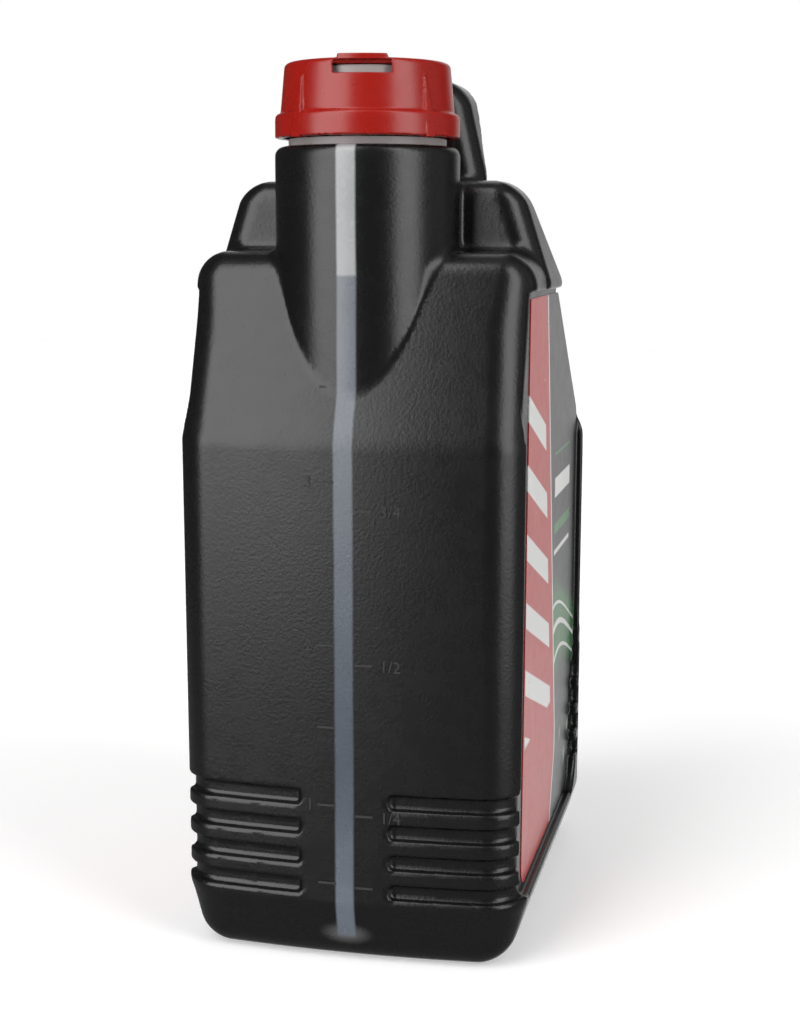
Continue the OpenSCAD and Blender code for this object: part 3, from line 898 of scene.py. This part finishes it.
def label_material():
    """A generic printed label: a slanted red stripe with white bars beside a dark field with green shapes."""
    f = sizes("jug_finish")
    material, shader = new_material("label_print")
    n = Nodes(material.node_tree)
    place = n.place()
    x, y, z = n.axes(place)
    along = n.minus(x, BOTTLE_LOW.x)
    tail = n.step(n.minus(0.060, z), 0.0, 0.045)
    border = n.plus(STRIPE_EDGE, n.times(n.minus(STRIPE_TOP, z), STRIPE_SLOPE))
    border = n.minus(border, n.times(tail, STRIPE_KICK))
    past = n.minus(along, border)
    stripe = n.under(past, -0.0003, 0.0003)
    rim = n.under(n.size_of(n.minus(past, 0.0012)), 0.0008, 0.0012)
    slant = n.plus(z, n.times(along, BAR_SLANT))
    beat = n.math("FRACT", n.times(slant, 1 / BAR_PITCH))
    bars = n.within(beat, 0.30, 0.71, 0.03)
    inset = n.step(n.times(past, -1.0), 0.009, 0.0098)
    inset = n.times(inset, n.step(along, 0.026, 0.0268))
    reach = n.within(z, 0.072, 0.198, 0.002)
    bars = n.times(n.times(bars, inset), reach)
    red = n.mix(bars, f.stripe, f.paper)
    fade = n.step(z, 0.05, 0.16)
    field = n.mix(fade, (0.05, 0.055, 0.055), f.field)
    wave = n.math("SINE", n.plus(n.times(along, 46.0), n.times(z, 30.0)))
    curve = n.minus(z, n.plus(WAVE_Z, n.times(wave, WAVE_RISE)))
    green = n.under(n.size_of(curve), 0.010, 0.022)
    field = n.mix(n.times(green, 0.85), field, f.leaf)
    for height, width in WAVE_LINES:
        line = n.size_of(n.minus(curve, height))
        field = n.mix(n.under(line, width * 0.6, width), field, f.paper)
    span = n.within(along, BAND_START, BAND_END, EDGE_BLUR)
    for low, high, tint in ((0.150, 0.158, f.paper), (0.136, 0.1405, f.leaf),
                            (0.128, 0.1305, f.paper), (0.166, 0.1675, f.leaf)):
        field = n.mix(n.times(n.within(z, low, high, EDGE_BLUR), span), field, tint)
    cells = n.add("ShaderNodeTexVoronoi", {"Vector": place, "Scale": 70.0, "Randomness": 0.9})
    bloom = n.under(cells.outputs["Distance"], 0.10, 0.34)
    low_part = n.under(z, 0.055, 0.078)
    field = n.mix(n.times(bloom, n.times(low_part, 0.8)), field, (0.45, 0.55, 0.44))
    print_ = n.mix(rim, n.mix(stripe, field, red), f.paper)
    moulded(n, shader, print_, 0.30, 1.0, 0.03, 0.03, 0.0)
    shader.inputs["Coat Weight"].default_value = 0.25
    shader.inputs["Coat Roughness"].default_value = 0.2
    return material


class JUG_OT_labels(bpy.types.Operator):
    """Prints the front and the back label"""

    bl_idname = "jug.labels"
    bl_label = "Labels"

    def execute(self, context):
        material = label_material()
        for node in ("front_label", "back_label"):
            set_material(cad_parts[node], material)
        return {"FINISHED"}


def cap_field_for():
    """The cap's outer shell as a field about its own axis, its foot at zero."""
    c = sizes("jug_cap")
    flange_r = (CAP_HIGH.x - CAP_LOW.x) / 2 / MM
    inner_r = c.cone_r - c.wall
    inner_top = (INNER_HIGH.z - CAP_LOW.z) / MM + 0.3

    def field(x, y, z):
        r, turn = np.hypot(x, y), np.arctan2(y, x)
        slope = math.atan2(c.cone_r - c.top_r, c.height - c.flange_h)
        cone = edge(plane(r, z, c.cone_r, c.flange_h, slope), z - c.height, 1.7)
        flange = edge(edge(r - flange_r, z - c.flange_h, 0.7), -z, 0.5)
        skirt = edge(r - (flange_r - 0.25), z - (c.flange_h + 1.2), 1.0)
        form = joined(np.maximum(cone, -z), joined(flange, np.maximum(skirt - 0.45, -z), 0.6), 0.8)
        gap = (turn - c.turn) % (2 * math.pi / c.fin_n) - math.pi / c.fin_n
        side = np.abs(gap) * r
        share = np.clip((z - c.flange_h) / c.fin_h, 0, 1)
        skin = c.cone_r - (z - c.flange_h) * math.tan(slope)
        fin = np.maximum(side - (c.fin_w / 2 * (1 - share) + 0.3), r - skin - 0.35 - 1.0 * (1 - share))
        fin = np.maximum(np.maximum(fin, z - c.flange_h - c.fin_h), c.top_r - 2 - r)
        form = joined(form, fin, 0.3)
        u = x * math.cos(c.turn) + y * math.sin(c.turn)
        v = -x * math.sin(c.turn) + y * math.cos(c.turn)
        tab = edge(np.abs(v) - c.window_w * 0.43, z - c.height - c.tab_h, 0.6)
        tab = edge(edge(tab, c.top_r - 5 - u, 0.6), r - c.top_r + 0.6, 0.5)
        form = joined(form, tab, 0.35)
        window_z = np.abs(z - c.height + 0.6 + c.window_h / 2) - c.window_h / 2
        window = edge(np.abs(v) - c.window_w / 2, window_z, 0.7)
        window = np.maximum(window, c.top_r - 3.4 - u)
        form = without(form, window, 0.35)
        hollow = edge(r - inner_r + 0.9 * ramp(z, c.flange_h, c.height), z - inner_top, 1.0)
        return without(form, hollow, 0.3)
    return field, flange_r, c


class JUG_OT_closure(bpy.types.Operator):
    """Builds the cap's outer shell, and finishes the inner cap, its disc and the ring on the neck"""

    bl_idname = "jug.closure"
    bl_label = "Closure"

    def execute(self, context):
        f = sizes("jug_finish")
        local, flange_r, c = cap_field_for()
        foot = CAP_LOW.z / MM
        neck_x = NECK_X / MM

        def field(x, y, z):
            return local(x - neck_x, y, z - foot)

        reach = flange_r + 1
        x = graded([(neck_x - reach, 0.62), (neck_x + reach, 1)])
        y = graded([(-reach, 0.62), (reach, 1)])
        z = graded([(foot - 0.8, 0.5), (foot + c.flange_h + 3, 0.7), (foot + c.height - 6.5, 0.42),
                    (foot + c.height + c.tab_h + 0.8, 1)])
        shell = field_mesh("cap_outer", field, (x, y, z))
        set_material(shell, plain_material("red_plastic", f.red, 0.28, size=0.8, pebble=0.05, cloud=0.05,
                                           under=0.0, specks=0.0))
        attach(shell, "shell")
        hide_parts("cap_shell")
        # The natural plastic's colour holds painted shade and a painted red tint from the cap
        natural = plain_material("natural_plastic", f.natural, 0.42, pebble=0.04, cloud=0.06, under=0.1)
        for node in ("inner_cap", "tamper_band"):
            set_material(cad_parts[node], natural)
        set_material(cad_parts["cap_liner"], plain_material("liner_foam", f.foam, 0.75, size=0.7,
                                                                 pebble=0.5, cloud=0.05))
        return {"FINISHED"}


# Stage

def soft_lamp(name, power, place, aim, width, height):
    """An area lamp that looks from place to aim."""
    light = bpy.data.lights.new(name, "AREA")
    light.shape = "RECTANGLE"
    light.size, light.size_y = width, height
    light.energy = power
    lamp = bpy.data.objects.new(name, light)
    lamp.location = place
    lamp.rotation_euler = (Vector(aim) - Vector(place)).to_track_quat("-Z", "Y").to_euler()
    lamp.visible_glossy = False
    bpy.context.scene.collection.objects.link(lamp)
    return lamp


def band(n, value, low, high, soft):
    """1 where value, in radians, lies between two angles in degrees, with soft limits."""
    low, high, soft = math.radians(low), math.radians(high), math.radians(soft)
    return n.within(value, low - soft, high + soft, 2 * soft)


# Each upright light's two limits and softness, in degrees from the neck end's direction
KEY_SPAN = (11.5, 58, 3)
SIDE_SPAN = (-80, -48, 3)
TAIL_SPAN = (-128, -80, 7)
BACK_SPANS = (-212, -158, 8), (158, 212, 8)


def studio_light(n, s):
    """The studio round the jug: two upright light panels in front, a white wall behind, the rest dark."""
    x, y, z = n.axes(n.add("ShaderNodeTexCoord").outputs["Generated"])
    turn = n.math("ARCTAN2", y, n.times(x, -1.0))
    rise = n.math("ARCSINE", z)
    upright = band(n, rise, -11, 62, 4)
    tall = band(n, rise, -11, 78, 4)
    panels = ((s.key, KEY_SPAN, tall), (s.side, SIDE_SPAN, upright), (s.tail, TAIL_SPAN, upright),
              (s.behind, BACK_SPANS[0], band(n, rise, -40, 34, 8)),
              (s.behind * 1.8, BACK_SPANS[1], band(n, rise, -40, 60, 8)))
    light = s.dark
    for strength, (low, high, soft), height in panels:
        mask = n.times(band(n, turn, low, high, soft), height)
        light = n.plus(light, n.times(mask, strength))
    light = n.plus(light, n.times(band(n, rise, 66, 120, 8), s.ceiling))
    return n.plus(light, n.times(band(n, rise, -120, -14, 3), s.ground))


class JUG_OT_stage(bpy.types.Operator):
    """Sets the studio light, the pale floor, the overhead lamp and the camera"""

    bl_idname = "jug.stage"
    bl_label = "Stage"

    def execute(self, context):
        s = sizes("jug_stage")
        scene = context.scene
        scene.view_settings.view_transform = "Standard"
        world = bpy.data.worlds.new("studio")
        scene.world = world
        world.use_nodes = True
        n = Nodes(world.node_tree)
        path = n.add("ShaderNodeLightPath").outputs
        seen = n.math("MAXIMUM", path["Is Camera Ray"], path["Is Transmission Ray"])
        light = studio_light(n, s)
        strength = n.plus(light, n.times(seen, n.minus(1.0, light)))
        back = world.node_tree.nodes["Background"]
        n.feed(back.inputs["Color"], (1, 1, 1, 1))
        n.feed(back.inputs["Strength"], strength)

        floor = mesh_object("floor", [(-3000, -3000, 0), (3000, -3000, 0), (3000, 3000, 0), (-3000, 3000, 0)],
                            [(0, 1, 2, 3)], smooth=False)
        material, shader = new_material("pale_floor")
        m = Nodes(material.node_tree)
        path = m.add("ShaderNodeLightPath").outputs
        tint = m.mix(m.noise(2.0, m.place(), 3.0), s.floor, tuple(0.98 * v for v in s.floor))
        m.feed(shader.inputs["Base Color"], tint)
        shader.inputs["Roughness"].default_value = 0.9
        shader.inputs["Specular IOR Level"].default_value = 0.0
        shader.inputs["Emission Color"].default_value = (1, 1, 1, 1)
        m.feed(shader.inputs["Emission Strength"], m.times(path["Is Camera Ray"], s.floor_lift))
        set_material(floor, material)
        floor.visible_glossy = False
        soft_lamp("top_softbox", s.top, (0.2, 0.0, 1.6), (0, 0, 0.15), 1.4, 1.4)

        data = bpy.data.cameras.new("camera")
        data.sensor_width = 36.0
        data.lens = s.focus * data.sensor_width / 1024
        data.clip_start, data.clip_end = 0.01, 50
        camera = bpy.data.objects.new("camera", data)
        camera.location = Vector((s.camera_x, s.camera_y, s.camera_z)) * MM
        look = Vector((math.cos(s.yaw) * math.cos(s.pitch), math.sin(s.yaw) * math.cos(s.pitch),
                       -math.sin(s.pitch)))
        right = Vector((math.sin(s.yaw), -math.cos(s.yaw), 0))
        up = right.cross(look)
        right, up = (math.cos(s.roll) * right + math.sin(s.roll) * up,
                     -math.sin(s.roll) * right + math.cos(s.roll) * up)
        matrix = camera.matrix_basis.copy().to_3x3()
        for row in range(3):
            matrix[row] = (right[row], up[row], -look[row])
        camera.rotation_euler = matrix.to_euler()
        scene.collection.objects.link(camera)
        scene.camera = camera
        return {"FINISHED"}


OPERATORS = (JUG_OT_stage, JUG_OT_bottle, JUG_OT_graduations, JUG_OT_oil, JUG_OT_labels, JUG_OT_closure)


class JUG_PT_panel(bpy.types.Panel):
    """Lists the steps that build the jug"""

    bl_label = "Oil Jug"
    bl_idname = "JUG_PT_panel"
    bl_space_type = "VIEW_3D"
    bl_region_type = "UI"
    bl_category = "Jug"

    def draw(self, context):
        for cls in OPERATORS:
            self.layout.operator(cls.bl_idname)
        for group, cls in GROUPS.items():
            self.layout.label(text=cls.__doc__)
            for name in cls.__annotations__:
                self.layout.prop(getattr(context.scene, group), name)


CLASSES = (*GROUPS.values(), *OPERATORS, JUG_PT_panel)


def register():
    for cls in CLASSES:
        bpy.utils.register_class(cls)
    for name, cls in GROUPS.items():
        setattr(bpy.types.Scene, name, bpy.props.PointerProperty(type=cls))


def unregister():
    for name in GROUPS:
        delattr(bpy.types.Scene, name)
    for cls in reversed(CLASSES):
        bpy.utils.unregister_class(cls)


def main():
    """Registers the classes and builds every piece in order."""
    register()
    for cls in OPERATORS:
        group, name = cls.bl_idname.split(".")
        getattr(getattr(bpy.ops, group), name)()


if __name__ == "__main__":
    main()
